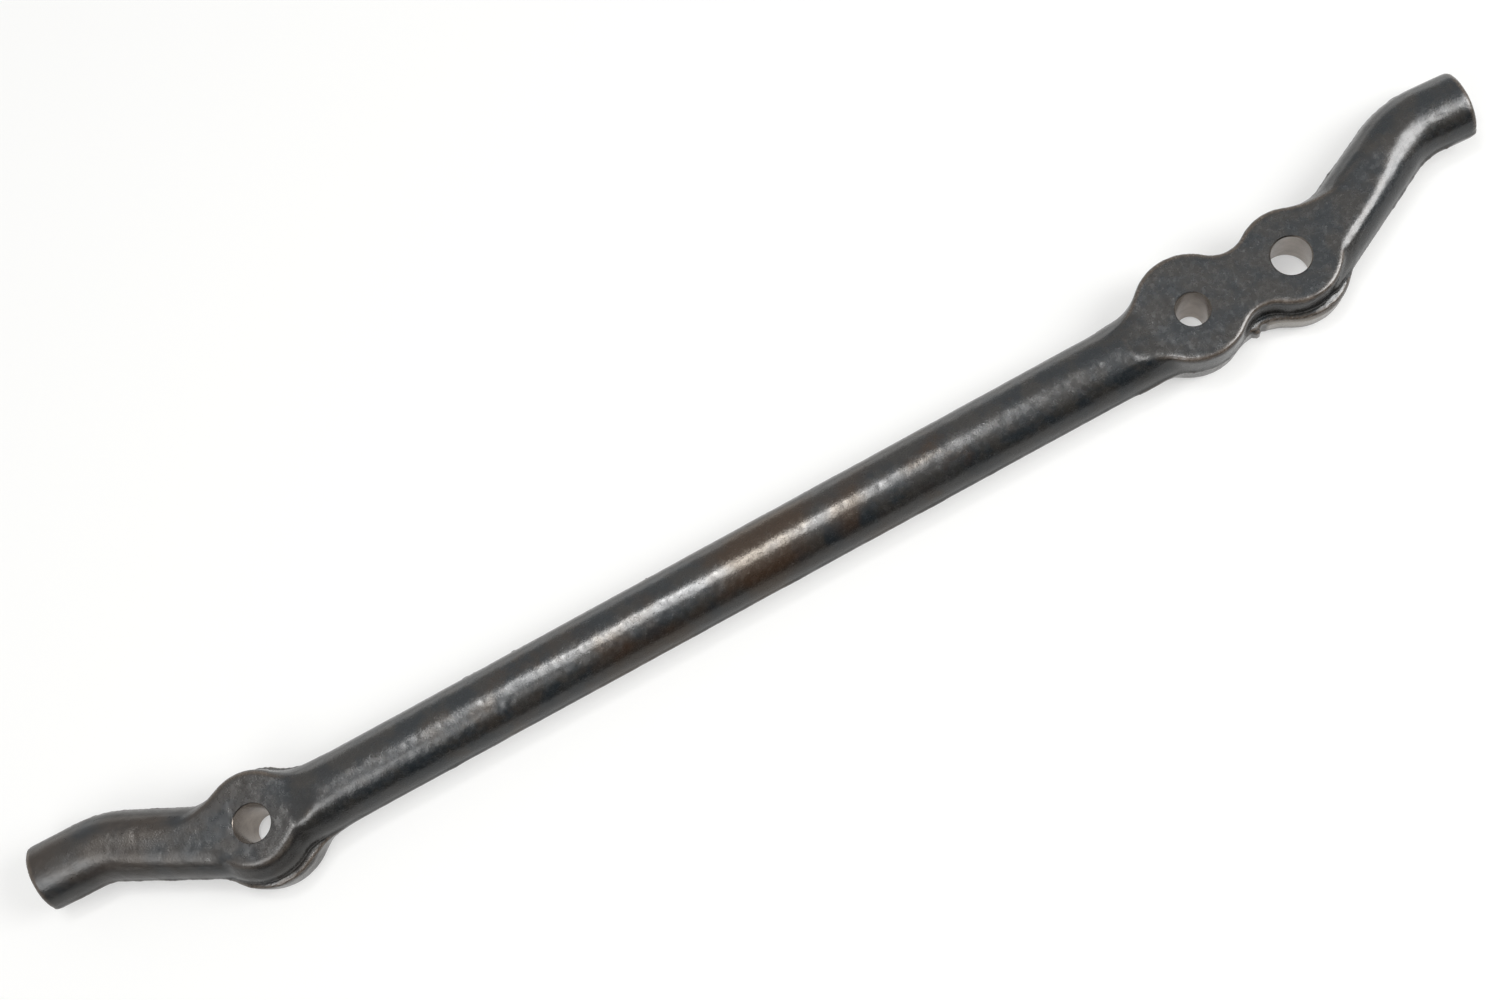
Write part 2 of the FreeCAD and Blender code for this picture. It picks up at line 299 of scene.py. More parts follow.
class Volume:
    """Box of sample points that the forging's field is worked out on."""

    def __init__(self, low: Vector, high: Vector, pitch: float) -> None:
        """Lays out the samples.

        Args:
            low: Lowest corner.
            high: Highest corner.
            pitch: Distance between samples.
        """
        self.low = np.array(low)
        self.pitch = pitch
        counts = [math.ceil((high[axis] - low[axis]) / pitch) + 1 for axis in range(3)]
        lines = [low[axis] + pitch * np.arange(counts[axis]) for axis in range(3)]
        self.x, self.y = np.meshgrid(lines[0], lines[1], indexing="ij")
        self.z = lines[2]

    def columns(self, low_x: float, high_x: float) -> slice:
        """Run of sample columns between two X positions."""
        first = np.searchsorted(self.x[:, 0], low_x)
        last = np.searchsorted(self.x[:, 0], high_x)
        return slice(int(first), int(last))

    def sample(self, values: np.ndarray, points: np.ndarray) -> np.ndarray:
        """Reads a field between its samples.

        Args:
            values: The field on this volume.
            points: Rows of X, Y, Z.

        Returns:
            The field's value at each point.
        """
        place = (points - self.low) / self.pitch
        cell = np.clip(np.floor(place).astype(int), 0, np.array(values.shape) - 2)
        part = place - cell
        total = np.zeros(len(points))
        for corner in np.ndindex(2, 2, 2):
            step = np.array(corner)
            weight = np.prod(np.where(step, part, 1.0 - part), axis=1)
            total += weight * values[tuple((cell + step).T)]
        return total

    def slope(self, values: np.ndarray, points: np.ndarray) -> np.ndarray:
        """Direction and rate of a field's rise at each point.

        Args:
            values: The field on this volume.
            points: Rows of X, Y, Z.

        Returns:
            Rows of the field's gradient.
        """
        half = self.pitch / 2.0
        rises = []
        for axis in range(3):
            step = np.zeros(3)
            step[axis] = half
            ahead = self.sample(values, points + step)
            rises.append((ahead - self.sample(values, points - step)) / self.pitch)
        return np.stack(rises, axis=1)


@dataclass
class Lumps:
    """Smooth seeded noise, for what hot dies and loose scale leave on a forging."""

    seed: int
    lattice: np.ndarray = field(init=False)

    def __post_init__(self) -> None:
        """Fills the lattice with seeded numbers between -1 and 1."""
        self.lattice = np.random.default_rng(self.seed).uniform(-1.0, 1.0, (37, 31, 29))

    def at(self, points: np.ndarray, size: float) -> np.ndarray:
        """Height of the lumps.

        Args:
            points: Rows of X, Y, Z in millimetres.
            size: Distance between lumps in millimetres.

        Returns:
            One number between -1 and 1 for each point.
        """
        place = points / size
        cell = np.floor(place).astype(int)
        part = place - cell
        part = part * part * (3.0 - 2.0 * part)
        total = np.zeros(len(points))
        for corner in np.ndindex(2, 2, 2):
            step = np.array(corner)
            weight = np.prod(np.where(step, part, 1.0 - part), axis=1)
            total += weight * self.lattice[tuple(((cell + step) % self.lattice.shape).T)]
        return total


@dataclass(frozen=True)
class RunOut:
    """Face of a die that clears a round member and sweeps up out of it."""

    reach: float
    sweep: float
    edge: float = 1.1

    def lift(self, run: np.ndarray) -> tuple[np.ndarray, np.ndarray]:
        """Height of the die face above the boss face.

        Args:
            run: Distance along the member from where the boss's axis is.

        Returns:
            The height, and the cosine of the face's slope.
        """
        past = np.clip(run - self.reach, 0.0, self.sweep * 0.9)
        drop = np.sqrt(self.sweep**2 - past**2)
        return self.sweep - drop, drop / self.sweep

    def limit(self, solid: np.ndarray, run: np.ndarray, height: np.ndarray) -> np.ndarray:
        """Takes a solid down to the die face on both sides of the parting plane.

        Args:
            solid: Field of the round member.
            run: Distance along it, in plan.
            height: Heights of the samples off the parting plane.

        Returns:
            The field of the member with its flats.
        """
        lift, level = self.lift(run)
        over = (np.abs(height) - FACE_HEIGHT - lift[..., None]) * level[..., None]
        return round_meet(solid, over, self.edge)


def half_chord(radius: float, height: float) -> float:
    """Half width of a round member at a height, a little inside it."""
    return math.sqrt(radius**2 - height**2) - FLARE_INSET


@dataclass(frozen=True)
class RoundBar:
    """Round bar that joins the single boss to the pair."""

    radius: float = 19.0
    axis_y: float = -1.7
    length: float = 542.0
    near_lip: RunOut = RunOut(20.5, 36.0)
    far_lip: RunOut = RunOut(31.0, 10.0)

    def field(self, volume: Volume) -> np.ndarray:
        """Works out the bar with its faces run out at both ends.

        Args:
            volume: Samples to fill.

        Returns:
            The bar's distance field.
        """
        from_axis = np.hypot((volume.y - self.axis_y)[..., None], volume.z)
        ends = np.maximum(-volume.x, volume.x - self.length)[..., None]
        solid = np.maximum(from_axis - self.radius, ends)
        near = np.hypot(volume.x, volume.y)
        far = np.hypot(volume.x - self.length, volume.y)
        solid = self.near_lip.limit(solid, near, volume.z)
        return self.far_lip.limit(solid, far, volume.z)


@dataclass(frozen=True)
class BentArm:
    """Round arm that leaves a boss aslant and bends into its straight threaded end."""

    hole: complex
    heading_angle: float
    end_angle: float
    passing: float
    corner_run: float
    end_x: float
    bend_radius: float
    root_radius: float = 18.7
    end_radius: float = 17.9
    end_round: float = 1.2
    flat: RunOut = RunOut(38.0, 300.0)

    @property
    def heading(self) -> complex:
        """Direction of the slanting run."""
        return heading_of(self.heading_angle)

    @property
    def end_heading(self) -> complex:
        """Direction of the straight end."""
        return heading_of(self.end_angle)

    @property
    def across(self) -> complex:
        """Direction across the slanting run, on the arm's offset side."""
        side = 1j * self.heading
        return side if side.imag > 0 else -side

    @property
    def foot(self) -> complex:
        """Point of the centre line beside the hole."""
        return self.hole - self.across * self.passing

    @property
    def end(self) -> complex:
        """Middle of the end face."""
        corner = self.foot + self.heading * self.corner_run
        return corner + self.end_heading * (self.end_x - corner.real) / self.end_heading.real

    @property
    def turn(self) -> float:
        """Angle of the bend in radians, positive counter-clockwise."""
        return cmath.phase(self.end_heading / self.heading)

    def centre_line(self) -> list[complex]:
        """Walks the arm's centre line.

        Returns:
            The foot, the bend's points and the middle of the end face.
        """
        corner = self.foot + self.heading * self.corner_run
        trim = self.bend_radius * math.tan(abs(self.turn) / 2.0)
        start = corner - self.heading * trim
        hand = math.copysign(1.0, self.turn)
        centre = start + 1j * hand * self.heading * self.bend_radius
        steps = 24
        bend = [
            centre + (start - centre) * cmath.exp(1j * self.turn * step / steps)
            for step in range(steps + 1)
        ]
        return [self.foot, *bend, self.end]

    def side_line(self, height: float, outer: bool, run: float) -> Side:
        """Side of the arm as a member of a boss's outline.

        Args:
            height: Height off the parting plane.
            outer: True for the offset side, which is walked away from the boss on the left.
            run: Distance along the arm where the outline is cut.

        Returns:
            The member, in the sense of the left boss's walk.
        """
        half = half_chord(self.end_radius, height) * (1.0 if outer else -1.0)
        point = self.foot + self.across * half
        return Side(point, self.heading, point + self.heading * run, point + self.heading * run)

    def field(self, volume: Volume) -> np.ndarray:
        """Works out the arm with its flats, slimming from its root to the bend.

        Args:
            volume: Samples to fill.

        Returns:
            The arm's distance field.
        """
        place = volume.x + 1j * volume.y
        line = self.centre_line()
        nearest = np.full(place.shape, np.inf)
        for start, end in zip(line, line[1:]):
            run = end - start
            share = np.clip(((place - start) * run.conjugate()).real / abs(run) ** 2, 0.0, 1.0)
            nearest = np.minimum(nearest, np.abs(place - start - share * run))
        along = ((place - self.foot) * self.heading.conjugate()).real
        slimming = np.clip(along / abs(line[1] - line[0]), 0.0, 1.0)
        radius = self.root_radius + (self.end_radius - self.root_radius) * slimming
        solid = np.hypot(nearest[..., None], volume.z) - radius[..., None]
        solid = np.maximum(solid, -along[..., None])
        past_end = ((place - self.end) * self.end_heading.conjugate()).real
        solid = round_meet(solid, past_end[..., None] + 0.0 * solid, self.end_round)
        return self.flat.limit(solid, along, volume.z)


@dataclass(frozen=True)
class BossPlate:
    """Flat boss plate struck by one die, drafted from the parting plane to its face."""

    die: Die
    heights: tuple[float, ...]
    outlines: tuple[PlanOutline, ...]
    rim: float
    span: tuple[float, float]

    def field(self, volume: Volume) -> np.ndarray:
        """Works out the plate on its own side of the parting plane.

        Args:
            volume: Samples to fill.

        Returns:
            The plate's distance field, far from anything on the other side.
        """
        shape = volume.x.shape + volume.z.shape
        solid = np.full(shape, 60.0)
        columns = volume.columns(*self.span)
        levels = [
            outline.distance(volume.x[columns], volume.y[columns]) for outline in self.outlines
        ]
        for layer, height in enumerate(volume.z):
            rise = height * self.die.value
            if rise < 0 or rise > FACE_HEIGHT + 6.0:
                continue
            place = min(rise, self.heights[-1])
            upper = next(at for at, level in enumerate(self.heights) if level >= place)
            upper = max(upper, 1)
            low, high = self.heights[upper - 1], self.heights[upper]
            share = (place - low) / (high - low)
            plan = levels[upper - 1] * (1.0 - share) + levels[upper] * share
            over = np.full(plan.shape, rise - FACE_HEIGHT)
            solid[columns, :, layer] = round_meet(plan, over, self.rim)
        return solid


@dataclass(frozen=True)
class SingleBoss:
    """Boss with one stud hole, a long sloping shoulder in front and a steep back."""

    bar: RoundBar
    arm: BentArm
    run_in_bar: float = 62.0
    run_in_arm: float = 66.0
    arm_blends: tuple[float, float] = (36.0, 30.0)
    upper_heights: tuple[float, ...] = (0.0, 7.0, FACE_HEIGHT)
    upper_rounds: tuple[Disc, ...] = (Disc(0j, 29.4), Disc(0.4j, 28.2), Disc(3.0j, 24.6))
    upper_flares: tuple[float, float] = (40.0, 26.0)
    lower_heights: tuple[float, ...] = (0.0, 8.0, FACE_HEIGHT)
    lower_round: Disc = Disc(1.4 - 1.8j, 29.8)
    lower_flares: tuple[float, float] = (44.0, 44.0)
    lower_draft: float = 4.0
    edge_rounds: tuple[float, float] = (2.6, 2.4)
    span: tuple[float, float] = (-74.0, 66.0)

    def outline(self, height: float, boss: Disc, back: float, front: float) -> PlanOutline:
        """Plan outline of the boss at a height.

        Args:
            height: Height off the parting plane.
            boss: The boss's round at that height.
            back: Radius of the flare to the bar at the back.
            front: Radius of the flare to the bar in front.

        Returns:
            The outline.
        """
        half = half_chord(self.bar.radius, height)
        back_end = complex(self.run_in_bar, self.bar.axis_y + half)
        front_end = complex(self.run_in_bar, self.bar.axis_y - half)
        outer = self.arm.side_line(height, True, self.run_in_arm)
        inner = self.arm.side_line(height, False, self.run_in_arm)
        members = (
            Side(back_end, -1 + 0j, start=back_end),
            boss,
            outer,
            Side(inner.point, -inner.heading, start=inner.start),
            boss,
            Side(front_end, 1 + 0j, end=front_end),
        )
        return PlanOutline(members, (back, self.arm_blends[0], 0.0, self.arm_blends[1], front, 0.0))

    def plates(self) -> list[BossPlate]:
        """Upper and lower plate of the boss.

        Returns:
            Both plates.
        """
        upper = tuple(
            self.outline(height, boss, *self.upper_flares)
            for height, boss in zip(self.upper_heights, self.upper_rounds)
        )
        draft = math.tan(math.radians(self.lower_draft))
        lower = tuple(
            self.outline(
                height,
                Disc(
                    self.lower_round.centre,
                    self.lower_round.radius + (FACE_HEIGHT - height) * draft,
                ),
                *self.lower_flares,
            )
            for height in self.lower_heights
        )
        return [
            BossPlate(Die.UPPER, self.upper_heights, upper, self.edge_rounds[0], self.span),
            BossPlate(Die.LOWER, self.lower_heights, lower, self.edge_rounds[1], self.span),
        ]


@dataclass(frozen=True)
class PairStrike:
    """What one die strikes of the pair, sized at the boss face and about each hole."""

    die: Die
    middle: Disc
    right: Disc
    necks: tuple[float, float]
    flares: tuple[float, float]
    draft: float
    edge_round: float


@dataclass(frozen=True)
class PairedBosses:
    """Two bosses side by side, joined by a neck."""

    bar: RoundBar
    arm: BentArm
    run_in_bar: float = 62.0
    run_in_arm: float = 66.0
    arm_blends: tuple[float, float] = (50.0, 30.0)
    heights: tuple[float, ...] = (0.0, 8.0, FACE_HEIGHT)
    strikes: tuple[PairStrike, PairStrike] = (
        PairStrike(
            Die.UPPER, Disc(1.6j, 29.1), Disc(0.6j, 26.1), (17.0, 17.0), (42.0, 26.0), 2.5, 1.6
        ),
        PairStrike(
            Die.LOWER, Disc(1.4j, 28.1), Disc(2.0 - 1.4j, 28.1), (17.0, 30.0), (44.0, 44.0),
            4.0, 2.4,
        ),
    )

    def outline(
        self, height: float, middle: Disc, right: Disc, necks: tuple[float, float],
        flares: tuple[float, float],
    ) -> PlanOutline:
        """Plan outline of both bosses at a height.

        Args:
            height: Height off the parting plane.
            middle: Round of the boss at the bar's end.
            right: Round of the outer boss.
            necks: Radii of the neck's hollows, back and front.
            flares: Radii of the flares to the bar, back and front.

        Returns:
            The outline.
        """
        half = half_chord(self.bar.radius, height)
        start_x = self.bar.length - self.run_in_bar
        back_end = complex(start_x, self.bar.axis_y + half)
        front_end = complex(start_x, self.bar.axis_y - half)
        outer = self.arm.side_line(height, True, self.run_in_arm)
        inner = self.arm.side_line(height, False, self.run_in_arm)
        members = (
            Side(front_end, 1 + 0j, start=front_end),
            middle,
            right,
            inner,
            Side(outer.point, -outer.heading, start=outer.start),
            right,
            middle,
            Side(back_end, -1 + 0j, end=back_end),
        )
        blends = (
            flares[1], necks[1], self.arm_blends[1], 0.0,
            self.arm_blends[0], necks[0], flares[0], 0.0,
        )
        return PlanOutline(members, blends)

    def plates(self) -> list[BossPlate]:
        """Upper and lower plate of the pair.

        Returns:
            Both plates.
        """
        start = self.bar.length - self.run_in_bar - 4.0
        span = (start, self.arm.hole.real + self.run_in_arm + 8.0)
        plates = []
        for strike in self.strikes:
            outlines = []
            for height in self.heights:
                grow = (FACE_HEIGHT - height) * math.tan(math.radians(strike.draft))
                middle = Disc(self.bar.length + strike.middle.centre, strike.middle.radius + grow)
                right = Disc(self.arm.hole + strike.right.centre, strike.right.radius + grow)
                necks = (strike.necks[0] - grow, strike.necks[1] - grow)
                outlines.append(self.outline(height, middle, right, necks, strike.flares))
            rounding = strike.edge_round
            plates.append(BossPlate(strike.die, self.heights, tuple(outlines), rounding, span))
        return plates


def surface_net(values: np.ndarray, volume: Volume) -> tuple[np.ndarray, np.ndarray]:
    """Meshes the zero level of a field.

    Args:
        values: The field on the volume, negative inside.
        volume: The samples.

    Returns:
        Rows of vertex positions and rows of four vertex numbers, facing out.
    """
    cells = np.array(values.shape) - 1
    size = int(cells.prod())
    hits = np.zeros(size)
    sums = np.zeros((3, size))
    rings = []
    for axis in range(3):
        aside, beside = (axis + 1) % 3, (axis + 2) % 3
        head = [slice(None)] * 3
        tail = [slice(None)] * 3
        head[axis] = slice(None, -1)
        tail[axis] = slice(1, None)
        before, after = values[tuple(head)], values[tuple(tail)]
        spots = np.argwhere((before < 0) != (after < 0))
        near, far = before[tuple(spots.T)], after[tuple(spots.T)]
        crossing = spots.astype(float)
        crossing[:, axis] += near / (near - far)
        corners = []
        for step_aside, step_beside in ((1, 1), (0, 1), (0, 0), (1, 0)):
            cell = spots.copy()
            cell[:, aside] -= step_aside
            cell[:, beside] -= step_beside
            number = np.ravel_multi_index(tuple(cell.T), tuple(cells))
            corners.append(number)
            hits += np.bincount(number, minlength=size)
            for part in range(3):
                sums[part] += np.bincount(number, weights=crossing[:, part], minlength=size)
        ring = np.stack(corners, axis=1)
        rings.append(np.where((near > 0)[:, None], ring[:, ::-1], ring))
    used = np.flatnonzero(hits)
    order = np.full(size, -1)
    order[used] = np.arange(len(used))
    points = volume.low + volume.pitch * (sums[:, used] / hits[used]).T
    return points, order[np.concatenate(rings)]


@dataclass
class ForgedBlank:
    """The forging as it leaves the trimming press, before machining."""

    bar: RoundBar
    arms: tuple[BentArm, BentArm]
    bosses: tuple[SingleBoss, PairedBosses]
    pitch: float = 1.25
    flash_half_thickness: float = 1.0
    flash_stand: float = 0.45
    flash_end_gap: float = 9.0
    notch: complex = 571.4 - 21.9j
    notch_radius: float = 2.4
    stub: complex = 567.4 - 21.0j
    stub_radius: float = 2.4
    stub_height: float = 9.0
    volume: Volume = field(init=False)
    values: np.ndarray = field(init=False)

    def __post_init__(self) -> None:
        """Lays out the samples so that none is on the parting plane."""
        half = self.pitch * (math.floor(20.5 / self.pitch) + 0.5)
        low, high = Vector((-119.0, -35.5, -half)), Vector((722.5, 55.0, half))
        self.volume = Volume(low, high, self.pitch)
        self.values = self.grow()

    def grow(self) -> np.ndarray:
        """Joins bar, arms and bosses, then adds the neck's notch and the flash.

        Returns:
            The forging's distance field.
        """
        volume = self.volume
        solid = self.bar.field(volume)
        for boss in self.bosses:
            for plate in boss.plates():
                solid = self.join_to_bar(solid, plate.field(volume))
        for arm in self.arms:
            solid = np.minimum(solid, arm.field(volume))
        solid = self.soften(solid)
        return soft_join(self.neck_marks(solid), self.flash(solid), 1.3)

    def join_to_bar(self, bar: np.ndarray, plate: np.ndarray) -> np.ndarray:
        """Joins a plate to the bar, softly where it flares and hard elsewhere.

        Args:
            bar: Field of what stands so far.
            plate: Field of the plate.

        Returns:
            Field of both.
        """
        near = np.hypot(self.volume.x, self.volume.y)
        far = np.hypot(self.volume.x - self.bar.length, self.volume.y)
        reach = np.zeros(self.volume.x.shape)
        for run in (near, far):
            reach += 3.5 * smooth_step(25.0, 31.0, run) * smooth_step(60.0, 42.0, run)
        along_bar = smooth_step(-1.0, 6.0, self.volume.x)
        along_bar *= smooth_step(self.bar.length + 1.0, self.bar.length - 6.0, self.volume.x)
        return soft_join(bar, plate, (reach * along_bar)[..., None])

    def soften(self, solid: np.ndarray) -> np.ndarray:
        """Takes the sharpness off every edge and crease, as dies wear.

        Args:
            solid: Field to soften.

        Returns:
            The field averaged with its neighbours.
        """
        for axis in range(3):
            back = np.roll(solid, 1, axis)
            ahead = np.roll(solid, -1, axis)
            solid = (back + 2.0 * solid + ahead) / 4.0
        return solid

    def neck_marks(self, solid: np.ndarray) -> np.ndarray:
        """Cuts the small notch in front of the neck and stands the stub beside it.

        Args:
            solid: Field of the forging.

        Returns:
            Field with both marks.
        """
        place = self.volume.x + 1j * self.volume.y
        notch = np.abs(place - self.notch)[..., None] - self.notch_radius
        notch = np.maximum(notch, self.volume.z)
        stub = np.abs(place - self.stub)[..., None] - self.stub_radius
        stub = round_meet(stub, self.volume.z + 0.0 * stub, 1.2)
        stub = np.maximum(stub, -self.stub_height - self.volume.z)
        return np.maximum(soft_join(solid, stub, 1.5), -notch)

    def flash(self, solid: np.ndarray) -> np.ndarray:
        """Ragged line of trimmed flash round the parting plane.

        Args:
            solid: Field of the forging.

        Returns:
            Field of the flash line.
        """
        volume = self.volume
        middle = len(volume.z) // 2
        plan = np.minimum(solid[:, :, middle - 1], solid[:, :, middle])
        flat = np.stack([volume.x, volume.y, np.zeros_like(volume.x)], axis=-1).reshape(-1, 3)
        ragged = Lumps(11).at(flat, 4.2) + 0.8 * Lumps(12).at(flat, 2.1)
        torn = smooth_step(0.1, 0.6, Lumps(13).at(flat, 13.0))
        stand = self.flash_stand * (0.9 + 0.6 * ragged + 1.1 * torn).reshape(volume.x.shape)
        stand *= 1.0 - 0.8 * smooth_step(558.0, 566.0, volume.x) * (volume.y < 0.0)
        ends = np.full(volume.x.shape, np.inf)
        place = volume.x + 1j * volume.y
        for arm in self.arms:
            to_end = -((place - arm.end) * arm.end_heading.conjugate()).real
            ends = np.minimum(ends, to_end)
        stand *= smooth_step(self.flash_end_gap, self.flash_end_gap + 8.0, ends)
        side = (plan - stand)[..., None]
        over = np.abs(volume.z) - self.flash_half_thickness
        return round_meet(side, over + 0.0 * side, 0.5)

    def mesh_points(self) -> tuple[np.ndarray, np.ndarray]:
        """Meshes the forging and evens its quads out on the true surface.

        Returns:
            Rows of vertex positions and rows of four vertex numbers.
        """
        points, quads = surface_net(self.values, self.volume)
        edges = np.concatenate([quads[:, [at, (at + 1) % 4]] for at in range(4)])
        ends = np.concatenate([edges[:, 0], edges[:, 1]])
        others = np.concatenate([edges[:, 1], edges[:, 0]])
        share = np.bincount(ends, minlength=len(points))
        for _ in range(3):
            middle = [
                np.bincount(ends, weights=points[others, axis], minlength=len(points)) / share
                for axis in range(3)
            ]
            points = 0.5 * points + 0.5 * np.stack(middle, axis=1)
            points = self.settle(points)
        return points, quads

    def settle(self, points: np.ndarray) -> np.ndarray:
        """Moves points onto the forging's surface.

        Args:
            points: Rows of X, Y, Z near it.

        Returns:
            The moved points.
        """
        rise = self.volume.slope(self.values, points)
        steep = np.maximum((rise**2).sum(axis=1), 0.25)
        height = self.volume.sample(self.values, points)
        move = np.clip(height / steep, -0.6, 0.6)
        return points - rise * move[:, None]

    def hole_places(self) -> list[complex]:
        """Plan places of the three stud holes."""
        return [self.arms[0].hole, complex(self.bar.length, 0.0), self.arms[1].hole]

    def mark_wear(self, piece: bpy.types.Object) -> None:
        """Stores how sharp an edge each vertex lies on (edge wear and a painted highlight),
        where the trimming press sheared, and where steep walls get painted shade.

        Args:
            piece: The finished forging.
        """
        spots = np.zeros(len(piece.data.vertices) * 3)
        piece.data.vertices.foreach_get("co", spots)
        points = spots.reshape(-1, 3) / METRE
        bend = sum(
            np.roll(self.values, 1, axis) + np.roll(self.values, -1, axis) - 2.0 * self.values
            for axis in range(3)
        ) / self.pitch**2
        # Sharp convex edges. These get edge wear and a painted highlight.
        edge = smooth_step(0.12, 0.42, self.volume.sample(bend, points))
        shear = smooth_step(-12.5, -10.5, points[:, 2]) * smooth_step(0.4, -0.6, points[:, 2])
        shear *= smooth_step(573.0, 575.0, points[:, 0]) * smooth_step(622.0, 590.0, points[:, 0])
        shear *= points[:, 1] < -14.0
        rise = self.volume.slope(self.values, points)
        tilt = rise[:, 2] / np.maximum(np.linalg.norm(rise, axis=1), 0.1)
        upright = smooth_step(0.55, 0.2, tilt)
        place = points[:, 0] + 1j * points[:, 1]
        near = np.min([np.abs(place - hole) for hole in self.hole_places()], axis=0)
        # Painted shade: steep walls above the parting plane round the holes are darkened as if
        # under the ledge, most at the pair's neck.
        wall_shade = upright * smooth_step(-0.5, 0.8, points[:, 2]) * smooth_step(36.0, 32.0, near)
        wall_shade *= smooth_step(13.0, 16.0, near)
        wall_shade *= 0.15 + 0.6 * smooth_step(556.0, 572.0, points[:, 0])
        # Painted shade on every steep wall, above and below the parting plane.
        wall_shade = np.maximum(wall_shade, 0.55 * smooth_step(0.80, 0.60, np.abs(tilt)))
        marks = (("rim_wear_highlight_mask", edge), ("sheared", shear), ("painted_wall_shade", wall_shade))
        for name, values in marks:
            layer = piece.data.attributes.new(name, "FLOAT", "POINT")
            layer.data.foreach_set("value", values.astype(np.float32))

    def skin(self, points: np.ndarray) -> np.ndarray:
        """Lifts the surface by what scale and worn dies leave.

        Args:
            points: Rows of X, Y, Z on the surface.

        Returns:
            The points with their relief.
        """
        rise = self.volume.slope(self.values, points)
        normal = rise / np.maximum(np.linalg.norm(rise, axis=1), 1e-6)[:, None]
        flat = smooth_step(0.8, 0.97, np.abs(normal[:, 2]))
        swell = 0.10 * Lumps(21).at(points, 14.0) + 0.06 * Lumps(22).at(points, 6.0)
        grain = 0.045 * Lumps(23).at(points, 2.7)
        dents = 0.16 * smooth_step(0.45, 0.8, Lumps(24).at(points, 3.4)) * (0.25 + 0.75 * flat)
        return points + normal * (swell + grain - dents)[:, None]


def mesh_object(name: str, points: np.ndarray, faces: list | np.ndarray) -> bpy.types.Object:
    """Makes an object from millimetre points.

    Args:
        name: Name of the object and its mesh.
        points: Rows of X, Y, Z in millimetres.
        faces: Vertex numbers of each face.

    Returns:
        The object, linked to the scene, smooth shaded.
    """
    mesh = bpy.data.meshes.new(name)
    rows = faces.tolist() if isinstance(faces, np.ndarray) else faces
    mesh.from_pydata((points * METRE).tolist(), [], rows)
    mesh.update()
    mesh.polygons.foreach_set("use_smooth", [True] * len(mesh.polygons))
    piece = bpy.data.objects.new(name, mesh)
    bpy.context.scene.collection.objects.link(piece)
    return piece


def turned_points(
    profile: list[tuple[float, float]], around: int, frame_axes: Matrix
) -> tuple[np.ndarray, list[list[int]]]:
    """Turns a profile about an axis into a closed solid.

    Args:
        profile: Radius and height of each ring, from the lower end to the upper one.
        around: Points on each ring.
        frame_axes: Place of the axis, with its local Z along it, in millimetres.

    Returns:
        Rows of vertex positions and the faces.
    """
    angles = [math.tau * step / around for step in range(around)]
    points = [
        frame_axes @ Vector((radius * math.cos(angle), radius * math.sin(angle), height))
        for radius, height in profile
        for angle in angles
    ]
    faces = closed_rings(len(profile), around)
    return np.array([tuple(point) for point in points]), faces


def closed_rings(rings: int, around: int) -> list[list[int]]:
    """Faces between rings of points, with both ends closed.

    Args:
        rings: Number of rings, in order along the axis.
        around: Points on each ring.

    Returns:
        The faces, facing out.
    """
    faces = [
        [
            ring * around + step,
            ring * around + (step + 1) % around,
            (ring + 1) * around + (step + 1) % around,
            (ring + 1) * around + step,
        ]
        for ring in range(rings - 1)
        for step in range(around)
    ]
    faces.append(list(range(around))[::-1])
    faces.append([(rings - 1) * around + step for step in range(around)])
    return faces


@dataclass(frozen=True)
class StudHole:
    """Tapered hole for a ball stud, one in eight on diameter, broken at both mouths."""

    centre_x: float
    top_radius: float
    widens_down: bool
    break_edge: float
    taper: float = 1.0 / 8.0
    around: int = 96

    def tool(self, finish: bpy.types.Material) -> bpy.types.Object:
        """Makes the solid that the reamer and countersink clear.

        Args:
            finish: Material of the cut surface.

        Returns:
            The tool as an object.
        """
        change = self.taper * FACE_HEIGHT
        bottom = self.top_radius + (change if self.widens_down else -change)
        past = FACE_HEIGHT + 4.0
        cut = self.break_edge
        profile = [
            (bottom + cut, -past),
            (bottom + cut, -FACE_HEIGHT),
            (bottom, -FACE_HEIGHT + cut),
            (self.top_radius, FACE_HEIGHT - cut),
            (self.top_radius + cut, FACE_HEIGHT),
            (self.top_radius + cut, past),
        ]
        axes = Matrix.Translation(Vector((self.centre_x, 0.0, 0.0)))
        points, faces = turned_points(profile, self.around, axes)
        tool = mesh_object("reamer", points, faces)
        tool.data.materials.append(finish)
        return tool


